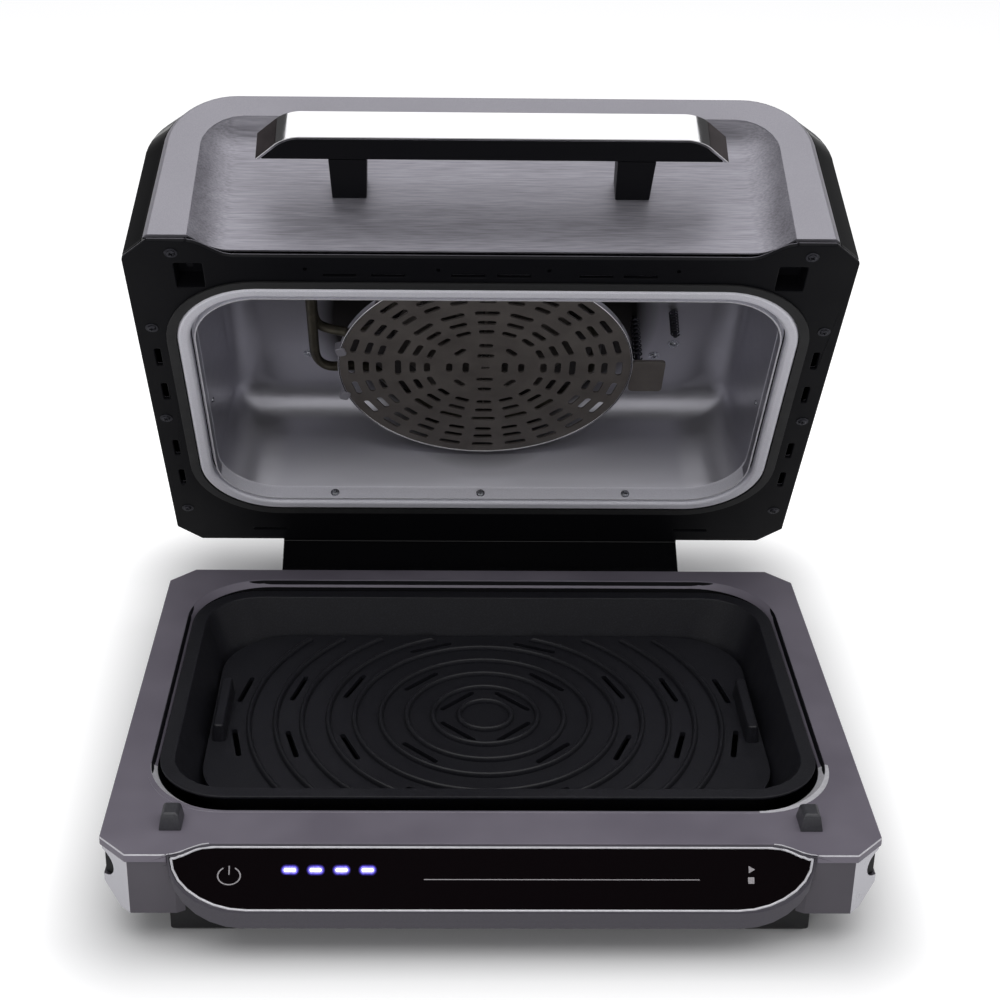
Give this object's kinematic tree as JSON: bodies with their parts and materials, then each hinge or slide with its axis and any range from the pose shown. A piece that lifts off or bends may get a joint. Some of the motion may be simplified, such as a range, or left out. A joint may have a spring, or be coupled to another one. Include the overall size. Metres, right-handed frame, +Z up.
{
  "type": "air fryer grill",
  "caption": "Countertop air fryer grill: grey base with lift-out pan and grate, sloped touch panel, and a deep black lid hinged open at the back over a fan-heated cavity.",
  "frame": {"origin": "on the floor, in the middle of the appliance as it stands with its lid open", "axes": "+X to the right as seen from the front, +Y to the back, +Z up"},
  "size_m": [0.43, 0.4718, 0.4091],
  "materials": {
    "grey_paint": "satin silver-grey paint",
    "flange_paint": "light satin silver paint",
    "brushed_panel": "horizontal brushing",
    "polished_metal": "polished",
    "sheet_steel": "satin aluminised sheet",
    "dark_steel": "dark heat-resistant coating",
    "coated_cast": "non-stick coating, satin black",
    "black_plastic": "satin black",
    "gloss_black": "gloss black",
    "touch_glass": "opaque gloss black glass",
    "rubber": "soft black",
    "board": "circuit board",
    "pin_steel": "turned steel",
    "heater_tube": "oxidised sheath",
    "nylon": "nylon"
  },
  "bodies": {
    "base": {"top_plate": "grey_paint", "skirt": "grey_paint", "bottom_cover": "black_plastic", "panel_bezel": "flange_paint", "touch_glass": "touch_glass", "control_board": "board", "power_board": "board", "bay_liner": "sheet_steel", "cord_gland": "rubber", "side_grip_left": "black_plastic", "side_grip_right": "black_plastic", "stud_left": "black_plastic", "stud_right": "black_plastic", "foot_front_left": "rubber", "foot_front_right": "rubber", "foot_back_left": "rubber", "foot_back_right": "rubber", "hinge_ear_left": "black_plastic", "hinge_ear_right": "black_plastic", "hinge_pin_left": "pin_steel", "hinge_pin_right": "pin_steel", "hinge_washer_left": "nylon", "hinge_washer_right": "nylon"},
    "pan": {"pan": "coated_cast"},
    "grate": {"grate": "coated_cast"},
    "fan": {"convection_fan": "sheet_steel", "cooling_fan": "black_plastic", "fan_shaft": "pin_steel"},
    "switch_plunger_body": {"switch_plunger": "nylon"},
    "lid": {"handle_post_left": "black_plastic", "handle_post_right": "black_plastic", "lid_shell": "gloss_black", "front_flange": "flange_paint", "front_panel": "brushed_panel", "inner_cover": "black_plastic", "lid_gasket": "rubber", "cavity_frame": "sheet_steel", "cavity_liner": "sheet_steel", "fan_guard": "dark_steel", "guard_bracket": "dark_steel", "heater": "heater_tube", "temperature_sensor": "pin_steel", "motor_bracket": "sheet_steel", "motor": "sheet_steel", "switch_body": "black_plastic", "handle_core": "black_plastic", "handle_cover": "polished_metal", "hinge_arm": "black_plastic", "back_vent": "black_plastic"}
  },
  "joints": [
    {"name": "lid_hinge", "type": "hinge", "parent": "base", "child": "lid", "pos_m": [0, 0.1224, 0.0294], "axis": [-1, 0, 0], "range_deg": [-59, 0]},
    {"name": "pan_lift", "type": "slide", "parent": "base", "child": "pan", "axis": [0, 0, 1], "range_m": [0, 0.05]},
    {"name": "grate_lift", "type": "slide", "parent": "pan", "child": "grate", "axis": [0, 0, 1], "range_m": [0, 0.045]},
    {"name": "fan_spin", "type": "hinge", "parent": "lid", "child": "fan", "pos_m": [0, 0.09966, 0.22958], "axis": [0, 0.8572, 0.515], "continuous": true},
    {"name": "switch_press", "type": "slide", "parent": "lid", "child": "switch_plunger_body", "axis": [0, -0.8572, -0.515], "range_m": [-0.0025, 0], "stiffness_N_per_m": 200}
  ]
}
